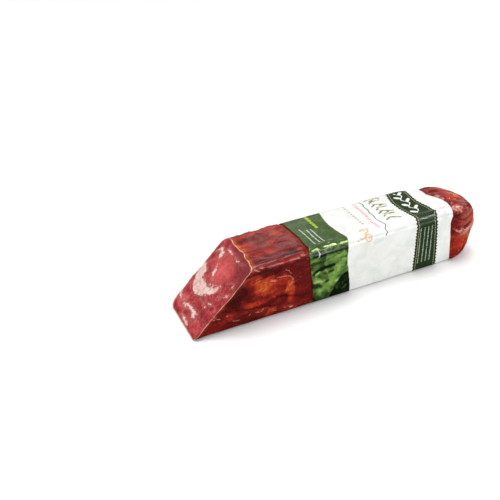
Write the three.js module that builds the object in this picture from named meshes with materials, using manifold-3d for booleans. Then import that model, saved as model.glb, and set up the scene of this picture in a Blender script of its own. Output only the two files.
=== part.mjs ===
// A dry-cured sausage that was pressed into a flat-sided bar, then cut on the bias at one end.
// The meat fills a thin glossy casing, which is open at the cut and gathered into pleats at the
// other end, and a printed film label is shrunk round the casing. Millimetres, +Z up. The bar lies
// along X on its flat underside: the cut is at -X, the gathered end at +X, and the origin is in
// the middle of the underside.
import * as THREE from 'three';
import { ParametricGeometry } from 'three/addons/geometries/ParametricGeometry.js';
import { mergeVertices } from 'three/addons/utils/BufferGeometryUtils.js';
import Module from 'manifold-3d';

// ---- driving dimensions, over the casing ----
const WIDTH = 38;              // across, Y
const HEIGHT = 35;             // underside to top, Z
const CORNER_RADII = {         // edges of the pressed bar, each rounded as the mould left it
  bottomFront: 2.5,
  topFront: 4.5,
  topBack: 5.5,
  bottomBack: 5.5,
};
const CUT_LEAN = 46;           // degrees that the cut leans back from upright
const CUT_SKEW = 5;            // degrees that the cut is turned in plan
const CASING_WALL = 0.5;       // casing, with the surface layer that dried onto it
const BARE_LENGTH = 72.5;      // low lip of the cut to the label
const LABEL_LENGTH = 97;
const TAIL_LENGTH = 20.5;      // label to the gathered end, before it is rounded
const LABEL_FILM = 0.4;        // label film
const GAP = 0.3;               // air between meat, casing and label
const LABEL_BITE_RAMP = 4;     // length over which the shrunk label's bite fades out
const END_DOME = 16;           // length over which the bar closes at the gathered end
const END_FULLNESS = 2.7;      // exponent of the dome: 2 is an ellipse, more is squarer
const GATHER_DEPTH = 3;        // dimple where the pleats meet
const GATHER_WIDTH = 0.24;     // dimple's spread, as a share of the section
const PLEATS = 8;              // folds of the gathered casing
const PLEAT_DEPTH = 0.5;
const DENT_DEPTH = 0.4;        // slow dents of the pressed sides
const LONG_DENT_SPACING = 80;
const SHORT_DENT_SPACING = 36;
const TRIM_ALLOWANCE = 12;     // stuffed length ahead of the low lip that the knife takes off

// ---- mesh steps ----
const ARC_STEPS = 4;           // per corner
const FACE_STEPS = 6;          // per flat face
const BODY_STEPS = 17;         // along the straight bar
const DOME_STEPS = 8;          // along the closing end
const SHORTEST_STEP = 1;       // stations closer than this become one

// ---- what follows from the dimensions ----
const LENGTH = BARE_LENGTH + LABEL_LENGTH + TAIL_LENGTH;
const X_LIP = -LENGTH / 2;
const X_END = LENGTH / 2;
const X_RAW = X_LIP - TRIM_ALLOWANCE;
const X_LABEL = X_LIP + BARE_LENGTH;
const X_LABEL_END = X_END - TAIL_LENGTH;
const LABEL_BITE = GAP + LABEL_FILM;
const AROUND = 4 * (ARC_STEPS + FACE_STEPS);
const UNDERSIDE = 3;           // index of the face between the last corner and the first
const TURN = 2 * Math.PI;
const KNIFE_SIZE = 4 * Math.max(HEIGHT, WIDTH, TRIM_ALLOWANCE);

const wasm = await Module();
wasm.setup();

const { smoothstep, lerp, degToRad } = THREE.MathUtils;

// How far the casing is pressed in under the label, so that the label's face lies flush with it.
function biteAt(x) {
  const before = smoothstep(x, X_LABEL - LABEL_BITE_RAMP, X_LABEL - GAP);
  const after = 1 - smoothstep(x, X_LABEL_END + GAP, X_LABEL_END + LABEL_BITE_RAMP);
  return LABEL_BITE * before * after;
}

// The bar's cross-section, inset from the casing's outer face: a rectangle with four different
// corner radii, as points with their outward normals. It starts at the low front corner and goes
// up the front, so the faces come in the order front, top, back, underside.
function sectionPoints(inset) {
  const halfWidth = WIDTH / 2 - inset;
  const low = inset;
  const high = HEIGHT - inset;
  const corners = [
    { side: -1, up: 0, radius: CORNER_RADII.bottomFront, from: 270 },
    { side: -1, up: 1, radius: CORNER_RADII.topFront, from: 180 },
    { side: 1, up: 1, radius: CORNER_RADII.topBack, from: 90 },
    { side: 1, up: 0, radius: CORNER_RADII.bottomBack, from: 0 },
  ].map((corner) => {
    const radius = Math.max(corner.radius - inset, 0.1);
    return {
      ...corner,
      radius,
      y: corner.side * (halfWidth - radius),
      z: corner.up ? high - radius : low + radius,
    };
  });
  const points = [];
  corners.forEach((corner, index) => {
    for (let step = 0; step <= ARC_STEPS; step += 1) {
      const angle = degToRad(corner.from - (90 * step) / ARC_STEPS);
      const normal = new THREE.Vector2(Math.cos(angle), Math.sin(angle));
      const y = corner.y + corner.radius * normal.x;
      const z = corner.z + corner.radius * normal.y;
      points.push({ y, z, normal, face: index, midface: 0 });
    }
    const next = corners[(index + 1) % corners.length];
    const start = points.at(-1);
    const angle = degToRad(corner.from - 90);
    const normal = new THREE.Vector2(Math.cos(angle), Math.sin(angle));
    const endY = next.y + next.radius * normal.x;
    const endZ = next.z + next.radius * normal.y;
    for (let step = 1; step < FACE_STEPS; step += 1) {
      const share = step / FACE_STEPS;
      points.push({
        y: lerp(start.y, endY, share),
        z: lerp(start.z, endZ, share),
        normal,
        face: index,
        midface: Math.sin(Math.PI * share),
      });
    }
  });
  return points;
}

// Slow dents of the front, top and back. They fade before the gathered end, and the underside
// has none, so that it lies flat.
function dentAt(x, point) {
  if (point.face === UNDERSIDE) return 0;
  const longDents = Math.sin((TURN * x) / LONG_DENT_SPACING + 2 * point.face);
  const shortDents = Math.sin((TURN * x) / SHORT_DENT_SPACING + point.face);
  const fade = smoothstep(X_END - x, END_DOME, 2 * END_DOME);
  return -DENT_DEPTH * point.midface * fade * (0.6 + 0.3 * (longDents + shortDents));
}

// Stations from the raw start to the middle of the gathered end: x, and the share of the full
// section that is left there.
function stations(inset) {
  const dome = END_DOME - inset;
  const domeStart = X_END - END_DOME;
  const list = [];
  const marks = [X_LABEL - LABEL_BITE_RAMP, X_LABEL - GAP, X_LABEL_END + GAP];
  for (let step = 0; step < BODY_STEPS; step += 1) {
    marks.push(lerp(X_RAW, domeStart, step / BODY_STEPS));
  }
  marks.sort((a, b) => a - b).forEach((x, index) => {
    if (index === 0 || x - list.at(-1).x > SHORTEST_STEP) list.push({ x, share: 1 });
  });
  for (let step = 0; step <= DOME_STEPS; step += 1) {
    const angle = (Math.PI / 2) * (step / DOME_STEPS);
    const share = Math.cos(angle) ** (2 / END_FULLNESS);
    const dimple = GATHER_DEPTH * Math.exp(-((share / GATHER_WIDTH) ** 2));
    const reach = dome * Math.sin(angle) ** (2 / END_FULLNESS);
    list.push({ x: domeStart + reach - dimple, share: step === DOME_STEPS ? 0 : share });
  }
  return list;
}

// A closed mesh from a parametric surface. The seam and the poles merge to single vertices, and
// the triangles that fold to nothing there are dropped.
function closedSolid(geometry) {
  geometry.deleteAttribute('normal');
  geometry.deleteAttribute('uv');
  const merged = mergeVertices(geometry, 1e-3);
  const triangles = [];
  for (let i = 0; i < merged.index.count; i += 3) {
    const [a, b, c] = [0, 1, 2].map((corner) => merged.index.getX(i + corner));
    if (a !== b && b !== c && c !== a) triangles.push(a, b, c);
  }
  return new wasm.Manifold(new wasm.Mesh({
    numProp: 3,
    vertProperties: merged.attributes.position.array,
    triVerts: new Uint32Array(triangles),
  }));
}

// The stuffed bar before the knife, with its face inset from the casing's outer face.
function stuffedBar(inset) {
  const section = sectionPoints(inset);
  const along = stations(inset);
  const rings = [{ ...along[0], share: 0 }, ...along];
  const middle = HEIGHT / 2;
  const surface = (u, v, target) => {
    const point = section[Math.round(v * AROUND) % AROUND];
    const station = rings[Math.round(u * (rings.length - 1))];
    const closing = Math.min(1, 4 * (1 - station.share)) * station.share;
    const pleat = PLEAT_DEPTH * closing * Math.sin(PLEATS * TURN * v);
    const bite = biteAt(station.x);
    const push = dentAt(station.x, point) + pleat - bite;
    const y = (point.y + push * point.normal.x) * station.share;
    const z = middle + (point.z + push * point.normal.y - middle) * station.share;
    target.set(station.x, y, Math.max(z, inset + bite));
  };
  return closedSolid(new ParametricGeometry(surface, rings.length - 1, AROUND));
}

// A closed mesh as a manifold solid, from a three.js box that a matrix has placed.
function placedBox(width, depth, height, matrix) {
  const box = new THREE.BoxGeometry(width, depth, height).applyMatrix4(matrix);
  return closedSolid(box);
}

// Everything ahead of the knife's plane. The plane passes through the low lip at the front.
function offcut() {
  const place = new THREE.Matrix4()
    .makeTranslation(X_LIP, -WIDTH / 2, 0)
    .multiply(new THREE.Matrix4().makeRotationZ(-degToRad(CUT_SKEW)))
    .multiply(new THREE.Matrix4().makeRotationY(degToRad(CUT_LEAN)))
    .multiply(new THREE.Matrix4().makeTranslation(-KNIFE_SIZE / 2, 0, 0));
  return placedBox(KNIFE_SIZE, KNIFE_SIZE, KNIFE_SIZE, place);
}

// The slice of space between the label's two edges.
function labelSpan() {
  const place = new THREE.Matrix4().makeTranslation((X_LABEL + X_LABEL_END) / 2, 0, HEIGHT / 2);
  return placedBox(LABEL_LENGTH, 3 * WIDTH, 3 * HEIGHT, place);
}

function meshOf(name, solid, material) {
  const mesh = solid.getMesh();
  const geometry = new THREE.BufferGeometry();
  geometry.setAttribute('position', new THREE.BufferAttribute(mesh.vertProperties, 3));
  geometry.setIndex(new THREE.BufferAttribute(mesh.triVerts, 1));
  geometry.computeVertexNormals();
  const made = new THREE.Mesh(geometry, material);
  made.name = name;
  return made;
}

// The cured meat, one piece, with its marbled face at the cut.
function meat(knife) {
  const material = new THREE.MeshStandardMaterial({ color: '#b5454a', roughness: 0.45 });
  return meshOf('meat', stuffedBar(CASING_WALL + GAP).subtract(knife), material);
}

// The casing: a thin bag, open where the knife went through, closed by the gather.
function casing(knife) {
  const material = new THREE.MeshStandardMaterial({ color: '#7c2218', roughness: 0.25 });
  const bag = stuffedBar(0).subtract(stuffedBar(CASING_WALL));
  return meshOf('casing', bag.subtract(knife), material);
}

// The printed film, shrunk round the casing. It sits in the bite that it has pressed.
function label() {
  const material = new THREE.MeshStandardMaterial({ color: '#eceeea', roughness: 0.35 });
  const outer = stuffedBar(-LABEL_BITE);
  const sleeve = outer.subtract(stuffedBar(-GAP)).intersect(labelSpan());
  return meshOf('label_sleeve', sleeve, material);
}

const knife = offcut();
const sausage = new THREE.Group();
sausage.add(meat(knife), casing(knife), label());

// The group is moved so that the origin is in the middle of what was built.
const middle = new THREE.Box3().setFromObject(sausage).getCenter(new THREE.Vector3());
sausage.position.set(-middle.x, -middle.y, 0);

export default sausage;
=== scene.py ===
from functools import partial
from math import cos, exp, pi, radians, sin, tau

import bmesh
import bpy
import numpy as np
from mathutils import Matrix, Vector, noise


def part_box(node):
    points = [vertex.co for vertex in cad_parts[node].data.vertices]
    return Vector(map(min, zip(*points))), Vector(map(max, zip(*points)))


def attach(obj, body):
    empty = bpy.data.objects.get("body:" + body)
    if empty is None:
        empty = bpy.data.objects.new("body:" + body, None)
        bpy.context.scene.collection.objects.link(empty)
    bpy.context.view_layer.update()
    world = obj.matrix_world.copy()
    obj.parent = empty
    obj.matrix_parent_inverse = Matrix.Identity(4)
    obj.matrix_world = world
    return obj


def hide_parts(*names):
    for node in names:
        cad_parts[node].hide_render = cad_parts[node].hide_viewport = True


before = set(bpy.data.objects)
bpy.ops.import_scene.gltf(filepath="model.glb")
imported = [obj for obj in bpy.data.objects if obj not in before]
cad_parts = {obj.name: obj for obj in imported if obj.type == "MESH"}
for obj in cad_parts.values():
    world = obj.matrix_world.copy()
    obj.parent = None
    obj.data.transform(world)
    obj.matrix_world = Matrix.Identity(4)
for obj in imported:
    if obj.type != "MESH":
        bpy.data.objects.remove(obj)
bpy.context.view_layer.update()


# -------------------------------- casing
# A skin of dried collagen, a third of a millimetre thick with the layer of meat that dried onto it. It
# was stuffed, pressed into a flat-sided bar and dried until it clung to every lump, so it is streaked
# along the bar, crinkled at its edges, open at the cut and gathered shut at the far end.

MM = 0.001                  # this script's shapes are worked out in millimetres
CORNER_RADII = (2.5, 4.5, 5.5, 5.5)   # low front, top front, top back, low back
STEPS_ROUND = 330           # points of each ring round the skin and the meat
SKIN = 0.34                 # wall that shows as a pale line round the cut
RIM_ROLL = 0.12             # how far the cut skin curls out of the cut
DOME_HIDDEN = 3             # length of the closing end that starts under the label
DOME_PAST_CAD = 3           # how far its tip would reach past the CAD's without the dimple
DOME_FULLNESS = 2.05        # 2 is an ellipse, more is squarer
DOME_LIFT = 5.5             # how far its middle lies above the bar's
DOME_BREADTH = 0.7          # below 1 it stays broad for longer than it stays tall
DOME_ROUNDED = 0.20         # share by which its corners are drawn in
GATHER_DEPTH = 1.0          # dimple where the pleats meet
GATHER_SPREAD = 0.20        # its radius, as a share of the section
LABEL_BITE = 0.50           # how far the shrunk label presses into the skin
BITE_RAMP = 3               # length over which the skin swells again beside it
PRESSED_HOLLOWS = 0.42      # depth of the pressed sides' slow hollows
DRAWN_IN = 2.6              # how far the top back corner is drawn in by the gathered end
WALL_SWELL = 0.9            # waviness of the wall next to the cut
MERGE_WITHIN = 0.0002       # points nearer than this are one

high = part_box("casing")[1] / MM
label_low, label_high = (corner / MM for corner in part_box("label_sleeve"))
HALF_WIDTH = high.y
HEIGHT = high.z
TIP = high.x + DOME_PAST_CAD
LABEL_START = label_low.x
LABEL_END = label_high.x
TAIL_START = LABEL_END - DOME_HIDDEN
DOME = TIP - TAIL_START


def knife_plane():
    """A point of the cut and its outward normal, from the large flat face of the meat's CAD solid."""
    cut = [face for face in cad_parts["meat"].data.polygons if face.normal.x < -0.5]
    area = sum(face.area for face in cut)
    point = sum((face.center * face.area for face in cut), Vector()) / area
    normal = sum((face.normal * face.area for face in cut), Vector()).normalized()
    return point / MM, normal


CUT_POINT, CUT_NORMAL = knife_plane()
CUT_ACROSS = Vector((0, 0, 1)).cross(CUT_NORMAL).normalized()   # from the back of the bar to its front
CUT_UP = CUT_NORMAL.cross(CUT_ACROSS)

# The flats and quarter turns round the bar, from the middle of its underside up the front.
low_front, top_front, top_back, low_back = CORNER_RADII
LEGS = (
    (HALF_WIDTH - low_front, low_front),
    (HEIGHT - low_front - top_front, top_front),
    (2 * HALF_WIDTH - top_front - top_back, top_back),
    (HEIGHT - top_back - low_back, low_back),
    (HALF_WIDTH - low_back, 0.0),
)
GIRTH = sum(flat + radius * pi / 2 for flat, radius in LEGS)
# Distances round the bar to the middle of each rounded edge.
EDGE_AT = []
walked = 0.0
for flat, radius in LEGS[:4]:
    EDGE_AT.append(walked + flat + radius * pi / 4)
    walked += flat + radius * pi / 2
LOW_FRONT_EDGE, TOP_FRONT_EDGE, TOP_BACK_EDGE, LOW_BACK_EDGE = EDGE_AT


def outline(around):
    """Where a distance round the bar lies on its section, as (y, z) and the outward normal."""
    place = Vector((0.0, 0.0))
    heading = Vector((-1.0, 0.0))
    left = around % GIRTH
    for flat, radius in LEGS:
        outward = Vector((-heading.y, heading.x))
        if left <= flat:
            return place + heading * left, outward
        place += heading * flat
        left -= flat
        arc = radius * pi / 2
        centre = place - outward * radius
        turned = Matrix.Rotation(-min(left, arc) / radius if radius else 0.0, 2) @ outward
        if left <= arc:
            return centre + turned * radius, turned
        left -= arc
        place = centre + heading * radius
        heading = Vector((heading.y, -heading.x))
    return place, Vector((-heading.y, heading.x))


def smooth(value, start, end):
    """0 before start, 1 after end, and an S-curve between them."""
    share = min(1.0, max(0.0, (value - start) / (end - start)))
    return share * share * (3 - 2 * share)


def bump(value, middle, spread):
    """A bell of height 1."""
    return exp(-(((value - middle) / spread) ** 2))


def cut_x(y, z):
    """Where the knife's plane is above a point of the section."""
    rise = CUT_NORMAL.y * (y - CUT_POINT.y) + CUT_NORMAL.z * (z - CUT_POINT.z)
    return CUT_POINT.x - rise / CUT_NORMAL.x


def off_table(z):
    """Fades relief out towards the flat underside: 1 from 3 mm up, 0.16 on the table."""
    return smooth(z, -1, 3)


def dents(x, y, z):
    """The pressed sides' slow hollows and swellings, shared by skin and label. Towards the gathered end
    the top back corner is already drawn in."""
    corner = smooth(x, LABEL_END - 20, LABEL_END + 3) * bump(y, HALF_WIDTH, 12) * bump(z, HEIGHT, 12)
    return PRESSED_HOLLOWS * noise.noise(Vector((x / 24, y / 15, z / 15))) - DRAWN_IN * corner


# How far each edge of the label has crept as it shrank: distances round from the top front edge, and
# the creep there.
START_CREEP = (
    (-34, -18, -7.5, 0, 3.6, 14.7, 25.8, 35, 50, 70, 88, 104),
    (1.1, 0.3, -1.3, -2, -0.4, 0.4, 0.3, -0.6, 0.4, -0.6, 0.6, 1.1))
END_CREEP = (
    (-34, -18.6, -7.2, -3, 1.4, 8.3, 13, 17.8, 23.3, 30, 40, 60, 80, 104),
    (-1.2, -2.4, -3.7, -2.6, -2, -0.1, -0.5, -2.7, -4.5, -3.1, -3.6, -2, -3, -1.2))


def creep(edge, around):
    """How far an edge of the label has crept at a distance round the bar."""
    places, distances = edge
    from_top = (around - TOP_FRONT_EDGE - places[0]) % GIRTH + places[0]
    return float(np.interp(from_top, places, distances))


def under_label(x, around):
    """1 where the label covers the skin, fading to 0 just past its edges."""
    start = LABEL_START + creep(START_CREEP, around)
    end = LABEL_END + creep(END_CREEP, around)
    return smooth(x, start - BITE_RAMP, start) * (1 - smooth(x, end, end + BITE_RAMP))


# Pinched threads of skin along the bar, as (where round it, climb towards the cut, wander, height,
# length of a bead).
CRINKLES = (
    (TOP_FRONT_EDGE - 0.6, 0, 0.9, 1.1, 6),
    (TOP_FRONT_EDGE - 14, 0.15, 1.4, 0.6, 3.4),
    (LOW_FRONT_EDGE + 1.4, 0.15, 1.3, 0.8, 2.6),
    (TOP_BACK_EDGE - 1, 0, 1.4, 0.8, 5),
    (LOW_BACK_EDGE - 7, -0.08, 2.1, 0.7, 3),
    (TOP_BACK_EDGE + 13, 0, 4, 0.6, 3.6),
)


def crinkle(x, around, at, climb, wander, height, bead, spread=0.42):
    """A thread's height above the skin."""
    line = at + climb * (LABEL_START - x) + wander * noise.noise(Vector((x / 9, wander, 0.5)))
    beading = max(0.0, 0.14 + 1.4 * noise.fractal(Vector((x / bead, wander, 7.1)), 1.0, 2.0, 2))
    return height * beading * bump(around, line, spread)


def skin_relief(x, around, y, z):
    """How far the bare skin stands out of the pressed bar: long swellings and smaller lumps, both lower
    on top, a hollow under the top front edge, and the pinched threads."""
    top = smooth(z, HEIGHT - 6, HEIGHT - 1)
    along = noise.noise(Vector((x / 17, y / 6, z / 6)))
    lumps = noise.fractal(Vector((x / 11 + 5, y / 7, z / 7)), 1.0, 2.0, 2)
    relief = (0.14 - 0.05 * top) * along + (0.42 - 0.20 * top) * lumps
    relief -= 0.45 * bump(around, TOP_FRONT_EDGE - 3.4, 1.3)
    return relief + sum(crinkle(x, around, *thread) for thread in CRINKLES)


# Creases of the gathered skin, as (where round the bar, depth, width).
CREASES = (
    (5, 1.3, 1.8), (15, 0.6, 2), (40, 2.6, 1.1), (46.4, 1, 1.4), (53.5, 1.3, 1.7), (57, 0.7, 1.2),
    (63.5, 1.7, 1.9), (68, 0.8, 1.2), (76, 1.4, 2.1), (83.5, 1, 1.5), (91, 1.6, 2), (98, 0.8, 1.4),
    (108, 1.5, 2), (117, 0.9, 1.6), (124, 1.5, 1.9), (132, 1, 1.6))
SHOULDER = 36.8             # the fold that bulges under the deepest crease
TWIST = 4                   # how far round the pleats have turned where they meet
PLEAT_HEIGHT = 1.55         # of the folds against the depths above
PLEAT_SWELL = 1.6           # how far the gathered skin stands out between its creases


def pleats(x, around, closing):
    """Rounded folds between sharp creases, which start at the label and twist a little as they close."""
    gather = smooth(x, TAIL_START - 2, TAIL_START + 9)
    if gather <= 0:
        return 0.0
    wander = 2.4 * noise.noise(Vector((x / 6, around / 16, 2.7))) * (1 - closing)
    turned = around + wander + TWIST * closing
    folded = 0.6 * bump(turned, SHOULDER, 2.4)
    for at, depth, width in CREASES:
        apart = (turned - at + GIRTH / 2) % GIRTH - GIRTH / 2
        folded -= depth * exp(-abs(apart) / width)
    return gather * (PLEAT_HEIGHT * folded + PLEAT_SWELL)


def skin_point(reach, x, share, around, inset):
    """A point of the stuffed bar. reach runs it from the knife's plane, at 0, to x, at 1; share is what
    is left of the full section at the gathered end; inset is the depth under the skin's face."""
    (y, z), outward = outline(around)
    past_cut = (x - cut_x(y, z)) * reach
    nominal = cut_x(y, z) + past_cut
    covered = under_label(nominal, around)
    closing = 1 - share
    bare = skin_relief(nominal, around, y, z) * (1 - 0.4 * closing)
    swell = WALL_SWELL * noise.noise(Vector((y / 6, z / 6, 11.0)))
    bare += swell * (1 - smooth(past_cut, 0.0, 9.0))
    relief = dents(nominal, y, z) - LABEL_BITE * covered + bare * (1 - covered)
    relief += pleats(x, around, closing) * (1 - covered) * share ** 0.4 * reach
    relief *= off_table(z)
    y += outward.x * (relief - inset)
    z += outward.y * (relief - inset)
    corner = (y / HALF_WIDTH) ** 2 * (2 * z / HEIGHT - 1) ** 2
    rounded = 1 - DOME_ROUNDED * corner * smooth(closing, 0.0, 0.5)
    y *= rounded * share ** DOME_BREADTH
    z = HEIGHT / 2 + DOME_LIFT * closing + (z - HEIGHT / 2) * share * rounded
    z = max(z, inset)
    return Vector((cut_x(y, z) * (1 - reach) + x * reach, y, z))


def dome_station(angle, inset):
    """The gathered end's (x, share) at an angle: 0 where it starts, a right angle at its middle."""
    share = max(0.0, cos(angle)) ** (2 / DOME_FULLNESS)
    swell = (DOME - inset) * sin(angle) ** (2 / DOME_FULLNESS)
    dimple = GATHER_DEPTH * exp(-((share / GATHER_SPREAD) ** 2))
    return TIP - DOME + swell - dimple, share


def even(start, end, steps):
    """Steps from start, up to but not at end."""
    return [start + (end - start) * step / steps for step in range(steps)]


def tail_rings(inset, steps):
    """Rings from just under the label's far edge to the middle of the gathered end."""
    closing = [dome_station(angle, inset) for angle in even(0.0, pi / 2, steps)]
    return [(1.0, x, share) for x, share in closing] + [(1.0, dome_station(pi / 2, inset)[0], 0.0)]


def wrapped_grid(rings, steps_round, place):
    """A bmesh grid wrapped into a tube: place(ring, around) gives each corner in millimetres. Its seam
    and any end that closes to a point are merged. The UV map keeps the flat grid's place."""
    mesh = bmesh.new()
    mesh.loops.layers.uv.new("surface")
    last = len(rings) - 1
    bmesh.ops.create_grid(mesh, x_segments=last, y_segments=steps_round, size=0.5, calc_uvs=True)
    for vertex in mesh.verts:
        ring = rings[round((vertex.co.x + 0.5) * last)]
        around = (vertex.co.y + 0.5) * GIRTH
        vertex.co = place(ring, around) * MM
    bmesh.ops.remove_doubles(mesh, verts=mesh.verts, dist=MERGE_WITHIN * MM)
    bmesh.ops.dissolve_degenerate(mesh, edges=mesh.edges, dist=MERGE_WITHIN * MM)
    bmesh.ops.recalc_face_normals(mesh, faces=mesh.faces)
    for face in mesh.faces:
        face.smooth = True
    return mesh


def stand(name, data):
    """Makes an object of a mesh, a lamp or a lens and puts it in the scene."""
    made = bpy.data.objects.new(name, data)
    bpy.context.scene.collection.objects.link(made)
    return made


def finish_mesh(name, mesh):
    """Makes an object of a finished bmesh."""
    data = bpy.data.meshes.new(name)
    mesh.to_mesh(data)
    mesh.free()
    return stand(name, data)


def girth_places(piece):
    """How far round the bar each of a piece's points is, from its UV map."""
    places = [0.0] * len(piece.data.vertices)
    for loop, corner in zip(piece.data.loops, piece.data.uv_layers["surface"].uv):
        places[loop.vertex_index] = corner.vector.y * GIRTH
    return places


def write(piece, name, values):
    """Writes one number for each of a piece's points, which a material reads by its name."""
    layer = piece.data.attributes.new(name, "FLOAT", "POINT")
    layer.data.foreach_set("value", np.asarray(values, dtype=np.float32))


def note(piece, name, measure):
    """Writes measure(point, around) of each of the piece's points."""
    places = zip(piece.data.vertices, girth_places(piece))
    write(piece, name, [measure(vertex.co / MM, around) for vertex, around in places])


# Rings of the closed bag: inner wall from its gathered end to the cut, the curled rim, outer wall.
inner_rings = [ring + (SKIN,) for ring in reversed(tail_rings(SKIN, 10))]
inner_rings += [(1.0, x, 1.0, SKIN) for x in even(TAIL_START, LABEL_START, 12)[1:]]
inner_rings += [(reach, LABEL_START, 1.0, SKIN) for reach in even(1.0, 0.0, 16)]
rim_rings = [(0.0, LABEL_START, 1.0, SKIN), (0.0, LABEL_START, 1.0, SKIN * 0.5)]
outer_rings = [(reach, LABEL_START, 1.0, 0.0) for reach in even(0.0, 1.0, 165)]
outer_rings += [(1.0, x, 1.0, 0.0) for x in even(LABEL_START, TAIL_START, 14)]
outer_rings += [ring + (0.0,) for ring in tail_rings(0.0, 76)]
bag_rings = inner_rings + rim_rings + outer_rings


def bag_place(ring, around):
    reach, x, share, inset = ring
    point = skin_point(reach, x, share, around, inset)
    if reach == 0.0 and 0.0 < inset < SKIN:
        curl = 0.6 + 0.8 * noise.noise(point / 5)
        point += CUT_NORMAL * RIM_ROLL * curl
    return point


casing = finish_mesh("casing_skin", wrapped_grid(bag_rings, STEPS_ROUND, bag_place))

# Fat and lean that lie against the skin, as (place, length, breadth, tone): fat is above 0, lean below.
# The place is (x, z) on the front and the back, (x, y) on the top, and (x, y, z) elsewhere.
# The dark band at (-46, 30.5) is painted shade along the hollow under the top front edge.
ON_FRONT = (
    (-52, 23, 6, 3.6, 0.25), (-58.5, 27.5, 5, 2.4, 0.3), (-45.5, 20, 9, 6.5, 0.17),
    (-35.8, 15, 2.2, 6, 0.42), (-41, 23.5, 4, 2.2, 0.14), (-50, 17.5, 7, 2, 0.24), (-57, 12, 7, 1.8, 0.3),
    (-46, 9.5, 5, 1.4, 0.2), (-64, 14.5, 3, 1.6, 0.3), (-49, 3.6, 4, 1.4, 0.42), (-75, 7.5, 4, 2.2, 0.22),
    (-30, 3, 6, 2, 0.16), (-79, 17.5, 3, 2.2, 0.36), (-38, 3, 6, 1.6, 0.14), (-84, 11, 3, 2, 0.22),
    (-68.5, 19, 8, 6, -0.32), (-27, 18, 4.5, 13, -0.1), (-45, 9.6, 6.5, 2.2, -0.26),
    (-39, 12.4, 4, 1.6, -0.22),
    (-63, 8.5, 5, 2.2, -0.14), (-46, 30.5, 16, 1.6, -0.16), (-36, 29, 10, 2.5, -0.12), (80, 10, 9, 9, 0.26),
    (80, 27, 4, 4, 0.14))
ON_TOP = (
    (-42, 4.2 - HALF_WIDTH, 17, 2.4, -0.2), (-30, 6 - HALF_WIDTH, 6, 3, -0.3), (-54, 2, 6, 3.4, 0.26),
    (-36, 1, 5, 2.2, 0.16), (-44, 13, 4.5, 1.4, 0.3), (-31, 7.5, 3, 2.4, 0.3), (-42, -7.5, 6, 2, 0.24),
    (-27, -13.4, 2.4, 1.6, 0.52), (-57.5, 6, 1.8, 4, 0.4), (-50, 12.5, 4, 1.2, 0.26),
    (-59.5, -4, 1.8, 4, 0.38), (-47, 9, 12, 1.3, -0.15), (-38, 2.9, 12, 1.3, -0.14),
    (-48, -10.3, 13, 1.4, -0.15), (-33, 13.5, 7, 2, 0.14), (-31, -6, 9, 4, -0.12), (86, 6, 5, 3, 0.16),
    (82, -6, 5, 3, 0.26))
ON_BACK = (
    (-60, 20, 8, 5, 0.4), (-40, 10, 7, 4, 0.34), (-34, 27, 6, 3, 0.28), (-74, 9, 6, 4, 0.3),
    (-50, 27, 8, 4, -0.16), (-55, 8, 8, 4, -0.14), (82, 22, 6, 6, 0.3), (80, 9, 5, 5, 0.14))
ELSEWHERE = (
    (-42, 1.2 - HALF_WIDTH, 34, 17, 1.3, 0.12), (87, 2 - HALF_WIDTH, 13, 5, 5, 0.16),
    (88, -11, 14, 6, 7, 0.3), (88, -10, 24, 6, 6, 0.34), (93, 4, 12, 5, 6, 0.34), (90, -2, 30, 5, 5, 0.2),
    (82, -8, 34, 2.2, 1.6, 0.45), (86, -3, 33.5, 2, 1.4, 0.5), (84, 6, 34, 2.6, 1.4, 0.3),
    (90, 0, 31, 2, 1.4, 0.4), (92, 8, 24, 4, 5, 0.22))
FAT_AND_LEAN = [(x, -HALF_WIDTH, *rest) for x, *rest in ON_FRONT]
FAT_AND_LEAN += [(x, y, HEIGHT, *rest) for x, y, *rest in ON_TOP]
FAT_AND_LEAN += [(x, HALF_WIDTH, *rest) for x, *rest in ON_BACK]
FAT_AND_LEAN += ELSEWHERE


def tone_at(point):
    """How fat the meat is behind a point of the skin."""
    tone = 0.0
    ragged = point + 2.0 * noise.noise_vector(point / 4) + 0.7 * noise.noise_vector(point / 1.5)
    for x, y, z, length, breadth, strength in FAT_AND_LEAN:
        away = ((ragged.x - x) / length) ** 2
        away += ((point.y - y) / breadth) ** 2 + ((ragged.z - z) / breadth) ** 2
        if away < 2.2:
            tone += strength * (1 - smooth(away, 0.2, 2.2))
    return tone


note(casing, "tone", lambda point, around: tone_at(point))
note(casing, "from_cut", lambda point, around: point.x - cut_x(point.y, point.z))

# Short folds of skin that stand up from the front, each with a painted pale glint along it, the last two
# being the painted highlight under the gathered end's deepest crease; and cracks where it has dried over a
# hollow. Both as lines of (x, height).
FOLDS = (
    ((-47.6, 23.9), (-43.8, 22.8)), ((-44, 25.2), (-39.4, 24.6), (-36.1, 24), (-34.3, 21)),
    ((-38.9, 28.7), (-37, 27.4), (-35.6, 25.3)), ((-60.6, 33.2), (-59.3, 33.6)),
    ((-57.5, 33.6), (-56.2, 33), (-55, 32.4)), ((-61.5, 5.6), (-60.5, 6.4)), ((-57.6, 6.4), (-54.6, 5.6)),
    ((-53.6, 5.9), (-52.6, 7.2)), ((-49.6, 6.2), (-48.4, 5.6)), ((-46.4, 4.4), (-44.4, 3.8)),
    ((-84.2, 9.6), (-81, 9.9), (-78.6, 8.8)), ((-71, 5.2), (-67.4, 4.6)),
    ((74.6, 21.8), (78.6, 20), (81.6, 20.2), (85.6, 22.6)), ((75.4, 20.8), (79, 19.4), (81.4, 19.6)))
CRACKS = (
    ((-61.5, 26), (-53.7, 27.4), (-48.2, 28.3), (-43.3, 28.4)),
    ((-44.6, 12.8), (-43.6, 12.6), (-36.9, 11), (-31.8, 10.2)),
    ((-69, 11.4), (-61.7, 9.8), (-53.5, 8.8), (-46, 7.6)), ((-79, 13.4), (-72, 12.2)),
    ((-33, 31.6), (-24, 31.9)), ((-66, 29.4), (-56, 30.6), (-47, 31.2)))
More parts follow.
